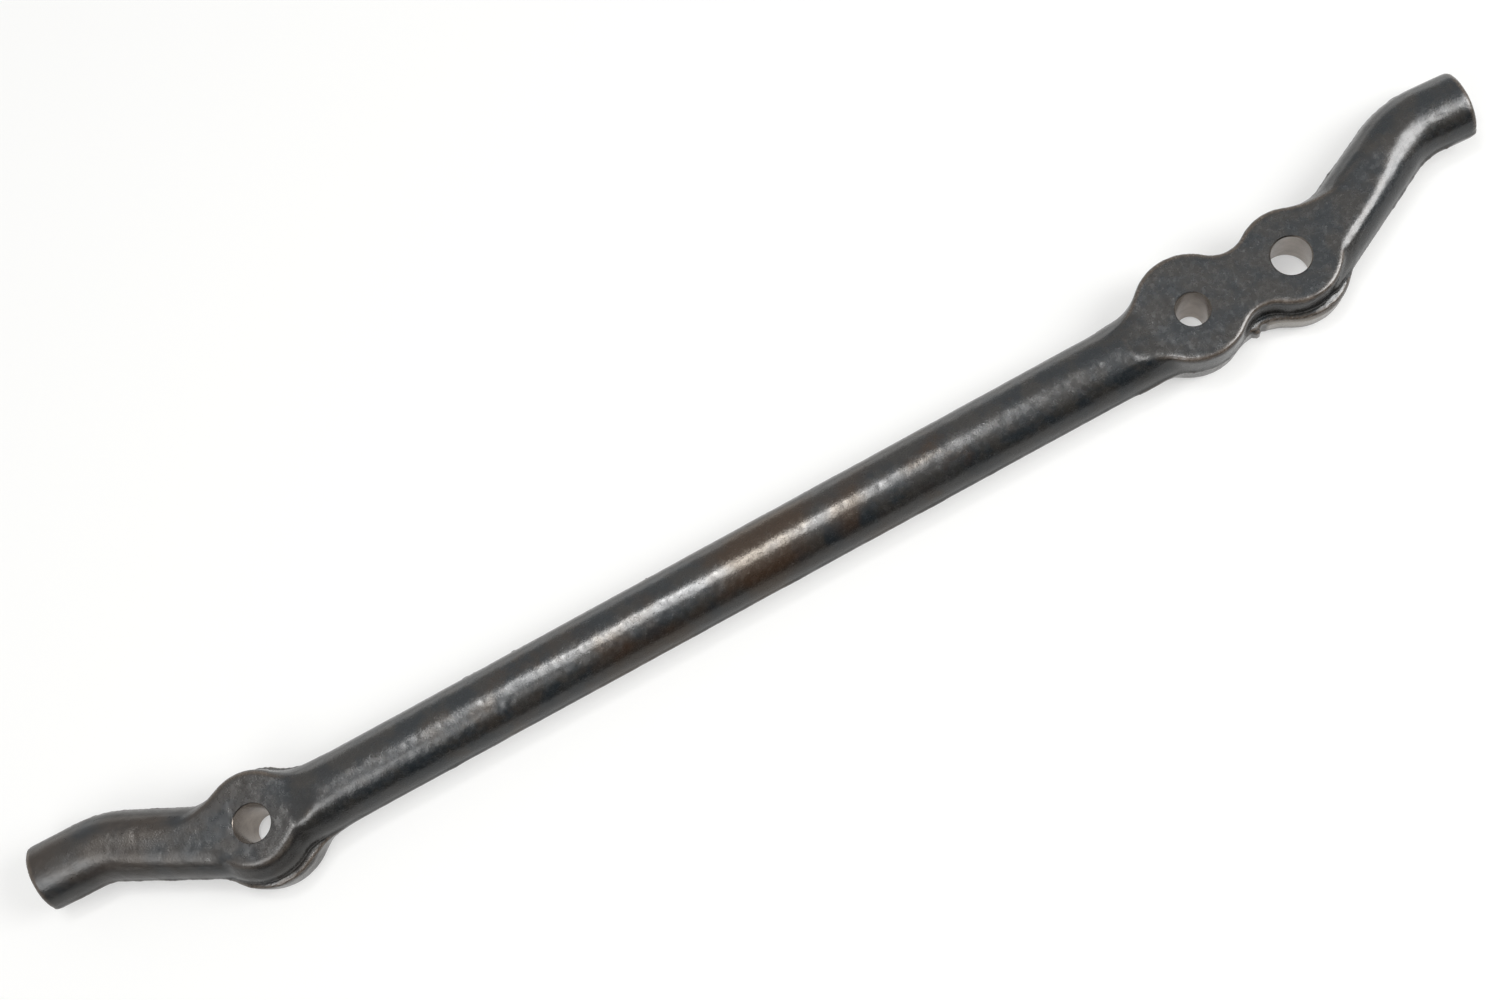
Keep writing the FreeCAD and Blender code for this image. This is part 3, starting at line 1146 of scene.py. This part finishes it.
@dataclass(frozen=True)
class EndSocket:
    """Drilled and tapped blind hole in an arm's end, M22 x 1.5."""

    arm: BentArm
    minor_radius: float = 10.25
    major_radius: float = 11.0
    mouth_radius: float = 11.05
    depth: float = 40.0
    thread_length: float = 32.0
    thread_pitch: float = 1.5
    around: int = 48
    rings_per_turn: int = 4

    def tool(self, finish: bpy.types.Material) -> bpy.types.Object:
        """Makes the solid that drill, countersink and tap clear.

        Args:
            finish: Material of the cut surface.

        Returns:
            The tool as an object.
        """
        heading = Vector((self.arm.end_heading.real, self.arm.end_heading.imag, 0.0))
        aside = Vector((0.0, 0.0, 1.0))
        across = heading.cross(aside)
        axes = Matrix((aside, across, heading)).transposed().to_4x4()
        axes.translation = Vector((self.arm.end.real, self.arm.end.imag, 0.0))
        chamfer = self.mouth_radius - self.minor_radius
        step = self.thread_pitch / self.rings_per_turn
        heights = [-self.depth - 6.2, -self.depth, -self.thread_length]
        turns = int((self.thread_length - chamfer) / step)
        heights += [-self.thread_length + step * (at + 1) for at in range(turns)]
        heights = [height for height in heights if height < -chamfer] + [-chamfer, 0.0, 3.0]
        points = []
        for height in heights:
            for at in range(self.around):
                angle = math.tau * at / self.around
                radius = self.radius_at(height, angle, chamfer)
                spot = Vector((radius * math.cos(angle), radius * math.sin(angle), height))
                points.append(tuple(axes @ spot))
        tool = mesh_object("tap", np.array(points), closed_rings(len(heights), self.around))
        tool.data.materials.append(finish)
        return tool

    def radius_at(self, height: float, angle: float, chamfer: float) -> float:
        """Radius of the cut at a place.

        Args:
            height: Place along the axis, 0 at the end face and negative inside.
            angle: Place round the axis in radians.
            chamfer: Depth of the countersink.

        Returns:
            The radius in millimetres.
        """
        if height < -self.depth:
            return 0.05
        if height >= 0.0:
            return self.mouth_radius
        if height <= -self.thread_length or height >= -chamfer:
            return self.minor_radius
        phase = (height / self.thread_pitch - angle / math.tau) % 1.0
        ridge = 1.0 - abs(2.0 * phase - 1.0)
        start = min(1.0, (height + self.thread_length) / self.thread_pitch)
        return self.minor_radius + (self.major_radius - self.minor_radius) * ridge * start


def add_node(tree: bpy.types.NodeTree, kind: str, settings: dict, links: dict) -> bpy.types.Node:
    """Adds a node with its settings and links.

    Args:
        tree: Node tree to add to.
        kind: Blender's name of the node.
        settings: Properties by name, and input sockets' values by name or number.
        links: Output sockets by the name or number of the input they feed.

    Returns:
        The node.
    """
    node = tree.nodes.new(kind)
    for name, value in settings.items():
        if isinstance(name, str) and hasattr(node, name):
            setattr(node, name, value)
        else:
            node.inputs[name].default_value = value
    for name, source in links.items():
        tree.links.new(source, node.inputs[name])
    return node


def new_material(name: str) -> tuple[bpy.types.Material, bpy.types.NodeTree]:
    """Makes a material with an empty node tree.

    Args:
        name: Name of the material.

    Returns:
        The material and its tree.
    """
    material = bpy.data.materials.new(name)
    material.use_nodes = True
    material.node_tree.nodes.clear()
    return material, material.node_tree


@dataclass(frozen=True)
class ForgedScaleSteel:
    """Carbon steel as drop forged: oiled black scale, dull and mottled, browner where it ran
    hottest. The eye gets a dark grey that gleams softly, broken by fine pits."""

    blue_black: str = "#1a2024"
    grey_black: str = "#2c2a27"
    hot_brown: str = "#33251b"
    pale_scale: str = "#4a4843"
    # Lighter rims: rubbed wear and a painted highlight on the edges.
    rim_wear_and_highlight: str = "#75675a"
    sheared_face: str = "#b3aca4"
    # Lighter brown for everything below the parting plane: dust and rust, and painted light from
    # the floor.
    dust_and_floor_light: str = "#4a413a"
    # Near-black painted shade for the steep walls.
    painted_shade_black: str = "#121213"
    warm_film: tuple[float, float, float, float] = (1.0, 0.91, 0.80, 1.0)
    ior: float = 1.95
    # Name, size of the lumps in millimetres, detail and roughness. Real scale grain is about
    # 0.2 mm, too fine to show, so it is drawn at 0.9 mm.
    noises: tuple = (
        ("mottle", 16.0, 5.0, 0.6),
        ("bloom", 34.0, 3.0, 0.5),
        ("patch", 3.2, 5.0, 0.6),
        ("grain", 0.9, 3.0, 0.55),
    )
    pit_mm: float = 2.2
    # Name, source, kind, and what the source's range from and to becomes.
    ramps: tuple = (
        ("hot_start", "frayed", "SMOOTHSTEP", 0.26, 0.36, 0.0, 1.0),
        ("hot_end", "frayed", "SMOOTHSTEP", 0.56, 0.47, 0.0, 1.0),
        ("mild_start", "frayed", "SMOOTHSTEP", -0.20, -0.10, 0.0, 0.45),
        ("mild_end", "frayed", "SMOOTHSTEP", 0.20, 0.12, 0.0, 1.0),
        ("broken", "bloom", "SMOOTHSTEP", 0.36, 0.60, 0.0, 1.0),
        ("cool", "mottle", "SMOOTHSTEP", 0.40, 0.60, 0.0, 1.0),
        # Lightens everything below the parting plane: dust and painted floor light.
        ("under", "Z", "SMOOTHSTEP", -0.001, -0.003, 0.0, 0.8),
        ("flecks", "grain", "LINEAR", 0.60, 0.78, 0.0, 0.5),
        ("dull", "X", "SMOOTHSTEP", 0.02, -0.04, 0.0, 0.07),
        ("patchy", "patch", "LINEAR", 0.32, 0.68, 0.20, 0.32),
        # Where the painted shade is full, the specular level falls from 0.5 to 0, so those walls
        # lose their shine too.
        ("gloss", "painted_wall_shade", "SMOOTHSTEP", 1.0, 0.0, 0.0, 0.5),
        ("deep", "pits", "LINEAR", 0.34, 0.10, 0.0, 1.0),
        ("few", "patch", "LINEAR", 0.50, 0.62, 0.0, -0.00008),
        ("coarse", "bloom", "LINEAR", 0.42, 0.60, 0.00003, 0.00010),
    )
    # Name, operation and what it works on.
    sums: tuple = (
        ("hot", "MULTIPLY", "hot_start", "hot_end"),
        ("mild", "MULTIPLY", "mild_start", "mild_end"),
        ("brown", "MAXIMUM", "hot", "mild"),
        ("warm", "MULTIPLY", "brown", "broken"),
        # The rims get wear and a painted highlight, broken up by the patch noise.
        ("rim_wear_highlight", "MULTIPLY", "rim_wear_highlight_mask", "patch"),
        ("rough", "ADD", "patchy", "dull"),
        ("sunk", "MULTIPLY", "deep", "few"),
        ("coarser", "MULTIPLY_ADD", "dull", 0.0012, "coarse"),
        ("height", "MULTIPLY_ADD", "grain", "coarser", "sunk"),
    )

    def make(self) -> bpy.types.Material:
        """Builds the material.

        Returns:
            The material.
        """
        material, tree = new_material("oiled_forging_scale")
        sockets = self.sources(tree)
        for name, source, kind, low, high, least, most in self.ramps:
            settings = {"interpolation_type": kind, "From Min": low, "From Max": high}
            settings.update({"To Min": least, "To Max": most})
            ramp = add_node(tree, "ShaderNodeMapRange", settings, {"Value": sockets[source]})
            sockets[name] = ramp.outputs["Result"]
        for name, operation, *parts in self.sums:
            settings = {at: part for at, part in enumerate(parts) if isinstance(part, float)}
            links = {at: sockets[part] for at, part in enumerate(parts) if isinstance(part, str)}
            settings["operation"] = operation
            sockets[name] = add_node(tree, "ShaderNodeMath", settings, links).outputs[0]
        film = add_node(
            tree, "ShaderNodeMix",
            {"data_type": "RGBA", 6: (1.0, 1.0, 1.0, 1.0), 7: self.warm_film},
            {0: sockets["warm"]},
        ).outputs[2]
        relief = add_node(
            tree, "ShaderNodeBump", {"Strength": 0.7, "Distance": 1.0},
            {"Height": sockets["height"]},
        ).outputs["Normal"]
        shader = add_node(
            tree, "ShaderNodeBsdfPrincipled", {"IOR": self.ior},
            {"Base Color": self.tint(tree, sockets), "Roughness": sockets["rough"],
             "Normal": relief, "Specular Tint": film, "Metallic": sockets["sheared"],
             "Specular IOR Level": sockets["gloss"]},
        )
        add_node(tree, "ShaderNodeOutputMaterial", {}, {"Surface": shader.outputs["BSDF"]})
        return material

    def sources(self, tree: bpy.types.NodeTree) -> dict[str, bpy.types.NodeSocket]:
        """Places, noises, pits and wear masks that the finish is worked out from.

        Args:
            tree: Node tree.

        Returns:
            Sockets by name.
        """
        coords = add_node(tree, "ShaderNodeTexCoord", {}, {}).outputs["Object"]
        place = add_node(tree, "ShaderNodeSeparateXYZ", {}, {"Vector": coords}).outputs
        sockets = {"X": place["X"], "Z": place["Z"]}
        for name, size, detail, rough in self.noises:
            settings = {"Scale": 1.0 / (size * METRE), "Detail": detail, "Roughness": rough}
            noise = add_node(tree, "ShaderNodeTexNoise", settings, {"Vector": coords})
            sockets[name] = noise.outputs[0]
        sockets["pits"] = add_node(
            tree, "ShaderNodeTexVoronoi", {"Scale": 1.0 / (self.pit_mm * METRE)},
            {"Vector": coords},
        ).outputs["Distance"]
        sockets["frayed"] = add_node(
            tree, "ShaderNodeMath", {"operation": "MULTIPLY_ADD", 1: 0.3},
            {0: sockets["mottle"], 2: place["X"]},
        ).outputs[0]
        for name in ("rim_wear_highlight_mask", "sheared", "painted_wall_shade"):
            mask = add_node(tree, "ShaderNodeAttribute", {"attribute_name": name}, {})
            sockets[name] = mask.outputs["Fac"]
        return sockets

    def tint(
        self, tree: bpy.types.NodeTree, sockets: dict[str, bpy.types.NodeSocket]
    ) -> bpy.types.NodeSocket:
        """Lays the scale's colours over each other, among them painted wall shade,
        a painted rim highlight and painted floor light.

        Args:
            tree: Node tree.
            sockets: Sockets by name.

        Returns:
            Colour socket.
        """
        settings = {"data_type": "RGBA", 6: linear(self.blue_black), 7: linear(self.grey_black)}
        colour = add_node(tree, "ShaderNodeMix", settings, {0: sockets["cool"]}).outputs[2]
        layers = (
            (self.hot_brown, "warm"),
            # Dust and painted floor light below the parting plane.
            (self.dust_and_floor_light, "under"),
            (self.pale_scale, "flecks"),
            # Wear and a painted highlight on the rims.
            (self.rim_wear_and_highlight, "rim_wear_highlight"),
            (self.sheared_face, "sheared"),
            # Painted shade on the steep walls.
            (self.painted_shade_black, "painted_wall_shade"),
        )
        for paint, where in layers:
            settings = {"data_type": "RGBA", 7: linear(paint)}
            links = {0: sockets[where], 6: colour}
            colour = add_node(tree, "ShaderNodeMix", settings, links).outputs[2]
        return colour


@dataclass(frozen=True)
class MachinedSteel:
    """Carbon steel as cut: reamed or tapped bare metal under old oil. The eye gets a warm grey
    with fine rings from the tool, drawn coarser than the real feed so that they show."""

    name: str
    colour: str
    stain: str
    roughness: float
    feed_mm: float

    def make(self) -> bpy.types.Material:
        """Builds the material.

        Returns:
            The material.
        """
        material, tree = new_material(self.name)
        coords = add_node(tree, "ShaderNodeTexCoord", {}, {}).outputs["Object"]
        film = add_node(
            tree, "ShaderNodeTexNoise", {"Scale": 1.0 / (6.0 * METRE), "Detail": 3.0},
            {"Vector": coords},
        ).outputs[0]
        colour = add_node(
            tree, "ShaderNodeMix",
            {"data_type": "RGBA", 6: linear(self.colour), 7: linear(self.stain)}, {0: film},
        ).outputs[2]
        rings = add_node(
            tree, "ShaderNodeTexWave",
            {"bands_direction": "Z", "Scale": 1.0 / (self.feed_mm * METRE * math.tau),
             "Distortion": 0.4}, {"Vector": coords},
        ).outputs["Fac"]
        normal = add_node(
            tree, "ShaderNodeBump", {"Strength": 0.35, "Distance": 0.00003}, {"Height": rings}
        ).outputs["Normal"]
        shader = add_node(
            tree, "ShaderNodeBsdfPrincipled", {"Metallic": 1.0, "Roughness": self.roughness},
            {"Base Color": colour, "Normal": normal},
        )
        add_node(tree, "ShaderNodeOutputMaterial", {}, {"Surface": shader.outputs["BSDF"]})
        return material


@dataclass
class CenterLink:
    """The whole part: the forged blank, machined and dressed."""

    blank: ForgedBlank
    holes: tuple[StudHole, ...]
    sockets: tuple[EndSocket, ...]

    def build(self) -> bpy.types.Object:
        """Meshes, machines and dresses the forging.

        Returns:
            The finished piece.
        """
        points, quads = self.blank.mesh_points()
        piece = mesh_object("forged_center_link", self.blank.skin(points), quads)
        scale = ForgedScaleSteel().make()
        bore = MachinedSteel("reamed_bore_steel", "#a89f96", "#665e57", 0.27, 0.8).make()
        thread = MachinedSteel("tapped_thread_steel", "#9a958d", "#6f675d", 0.32, 1.5).make()
        piece.data.materials.append(scale)
        tools = [hole.tool(bore) for hole in self.holes]
        tools += [socket.tool(thread) for socket in self.sockets]
        for tool in tools:
            self.cut(piece, tool)
        self.sharpen(piece)
        self.blank.mark_wear(piece)
        return piece

    def cut(self, piece: bpy.types.Object, tool: bpy.types.Object) -> None:
        """Cuts a tool's shape out of the piece and throws the tool away.

        Args:
            piece: The forging.
            tool: The closed solid to take out.
        """
        modifier = piece.modifiers.new("machining", "BOOLEAN")
        modifier.operation = "DIFFERENCE"
        modifier.solver = "EXACT"
        modifier.object = tool
        modifier.material_mode = "TRANSFER"
        graph = bpy.context.evaluated_depsgraph_get()
        cut_mesh = bpy.data.meshes.new_from_object(piece.evaluated_get(graph))
        piece.modifiers.remove(modifier)
        old = piece.data
        piece.data = cut_mesh
        bpy.data.meshes.remove(old)
        tool_mesh = tool.data
        bpy.data.objects.remove(tool)
        bpy.data.meshes.remove(tool_mesh)

    def sharpen(self, piece: bpy.types.Object) -> None:
        """Keeps the edges of machined surfaces crisp and the skin smooth.

        Args:
            piece: The forging.
        """
        shell = bmesh.new()
        shell.from_mesh(piece.data)
        for face in shell.faces:
            face.smooth = True
        for edge in shell.edges:
            if len(edge.link_faces) != 2:
                continue
            first, second = edge.link_faces
            cut = first.material_index > 0 or second.material_index > 0
            edge.smooth = not (
                first.material_index != second.material_index
                or (cut and edge.calc_face_angle(0.0) > math.radians(25.0))
            )
        shell.to_mesh(piece.data)
        shell.free()


@dataclass(frozen=True)
class Studio:
    """Pale floor, soft lamps and the camera at the photograph's angle."""

    floor_height: float
    floor_paint: str = "#c2c2c0"
    floor_lift: float = 0.45
    lens: float = 51.136
    place: tuple[float, float, float] = (0.309164, -0.289772, 1.052437)
    turn_degrees: tuple[float, float, float] = (14.6405, 8.3927, -27.4942)
    lamps: tuple = (
        ("overhead_strip", (0.0, 0.43, 1.95), (0.55, 0.22), 15.0, (0.17, 0.0, 0.0)),
        ("overhead_softbox", (0.0, 0.02, 2.0), (0.55, 0.68), 7.0, (0.17, 0.0, 0.0)),
        ("left_fill", (-0.78, -0.95, 1.72), (1.0, 1.1), 3.0, (-0.08, 0.0, 0.0)),
        ("right_fill", (1.18, -0.63, 1.49), (1.0, 1.45), 6.0, (0.68, 0.0, 0.0)),
    )

    def camera(self) -> None:
        """Stands the camera where the photograph was taken."""
        camera = bpy.data.cameras.new("studio_camera")
        camera.sensor_width = 36.0
        camera.lens = self.lens
        camera.clip_start = 0.01
        mount = bpy.data.objects.new("studio_camera", camera)
        mount.location = self.place
        mount.rotation_euler = [math.radians(angle) for angle in self.turn_degrees]
        bpy.context.scene.collection.objects.link(mount)
        bpy.context.scene.camera = mount

    def lamp(
        self, name: str, toward: tuple[float, float, float], size: tuple[float, float],
        radiance: float, aim: tuple[float, float, float],
    ) -> None:
        """Hangs a soft rectangular lamp.

        Args:
            name: Name of the lamp.
            toward: Where it hangs from the point it faces, in metres.
            size: Width along the bar and across it in metres.
            radiance: Brightness of its face, 1 being a white that just clips.
            aim: Point it faces.
        """
        light = bpy.data.lights.new(name, "AREA")
        light.shape = "RECTANGLE"
        light.size, light.size_y = size
        light.energy = radiance * math.pi * size[0] * size[1]
        holder = bpy.data.objects.new(name, light)
        away = Vector(toward)
        holder.location = Vector(aim) + away
        holder.rotation_euler = away.to_track_quat("Z", "Y").to_euler()
        bpy.context.scene.collection.objects.link(holder)

    def floor(self) -> bpy.types.Object:
        """Lays the pale floor, which looks white and keeps the part's shadow.

        Returns:
            The floor.
        """
        reach = 40000.0
        corners = [(-reach, -reach), (reach, -reach), (reach, reach), (-reach, reach)]
        height = self.floor_height / METRE
        points = np.array([(x, y, height) for x, y in corners])
        floor = mesh_object("studio_floor", points, [[0, 1, 2, 3]])
        material, tree = new_material("matt_white_sweep")
        rays = add_node(tree, "ShaderNodeLightPath", {}, {}).outputs
        seen = add_node(
            tree, "ShaderNodeMath", {"operation": "MAXIMUM"},
            {0: rays["Is Camera Ray"], 1: rays["Is Glossy Ray"]},
        ).outputs[0]
        seen = add_node(
            tree, "ShaderNodeMath", {"operation": "MAXIMUM"},
            {0: seen, 1: rays["Is Transmission Ray"]},
        ).outputs[0]
        glow = add_node(
            tree, "ShaderNodeMath", {"operation": "MULTIPLY", 1: self.floor_lift}, {0: seen}
        ).outputs[0]
        paint = add_node(
            tree, "ShaderNodeBsdfDiffuse", {"Color": linear(self.floor_paint)}, {}
        ).outputs[0]
        shine = add_node(
            tree, "ShaderNodeEmission", {"Color": (1.0, 1.0, 1.0, 1.0)}, {"Strength": glow}
        ).outputs[0]
        both = add_node(tree, "ShaderNodeAddShader", {}, {0: paint, 1: shine}).outputs[0]
        add_node(tree, "ShaderNodeOutputMaterial", {}, {"Surface": both})
        floor.data.materials.append(material)
        return floor

    def world(self) -> None:
        """Fills the room with dim light, darker behind the camera."""
        world = bpy.data.worlds.new("studio_room")
        world.use_nodes = True
        tree = world.node_tree
        tree.nodes.clear()
        way = add_node(tree, "ShaderNodeTexCoord", {}, {}).outputs["Generated"]
        back = add_node(tree, "ShaderNodeSeparateXYZ", {}, {"Vector": way}).outputs["Y"]
        level = add_node(
            tree, "ShaderNodeMapRange",
            {"From Min": -0.8, "From Max": -0.3, "To Min": 0.03, "To Max": 0.35}, {"Value": back},
        ).outputs["Result"]
        room = add_node(
            tree, "ShaderNodeBackground", {"Color": linear("#ffffff")}, {"Strength": level}
        ).outputs[0]
        add_node(tree, "ShaderNodeOutputWorld", {}, {"Surface": room})
        bpy.context.scene.world = world

    def set_up(self) -> None:
        """Builds the floor, the room, the lamps and the camera."""
        self.floor()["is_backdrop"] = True
        self.world()
        for lamp in self.lamps:
            self.lamp(*lamp)
        self.camera()
        bpy.context.scene.view_settings.view_transform = "Standard"


def main() -> None:
    """Builds the link and the studio, and reports each piece."""
    logging.basicConfig(level=logging.INFO, format="%(name)s: %(message)s")
    cad_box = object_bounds()
    bar = RoundBar()
    left = BentArm(0j, 153.6, 178.5, 7.2, 83.5, -115.6, 48.0, flat=RunOut(38.0, 300.0, 3.2))
    right = BentArm(598.4 + 0j, 27.2, -4.0, 9.0, 93.0, 718.3, 46.0)
    blank = ForgedBlank(bar, (left, right), (SingleBoss(bar, left), PairedBosses(bar, right)))
    holes = (
        StudHole(0.0, 10.1, False, 0.4),
        StudHole(542.0, 9.0, False, 0.4),
        StudHole(598.4, 10.3, True, 0.6),
    )
    link = CenterLink(blank, holes, (EndSocket(left), EndSocket(right)))
    piece = link.build()
    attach(piece, "root")
    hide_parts("center_link")
    faces = len(piece.data.polygons)
    corners = len(piece.data.loops)
    log.info("%s: %d faces, %d triangles", piece.name, faces, corners - 2 * faces)
    Studio(float(cad_box[0][2])).set_up()
    log.info("studio: floor, four soft lamps and the camera")


if __name__ == "__main__":
    main()
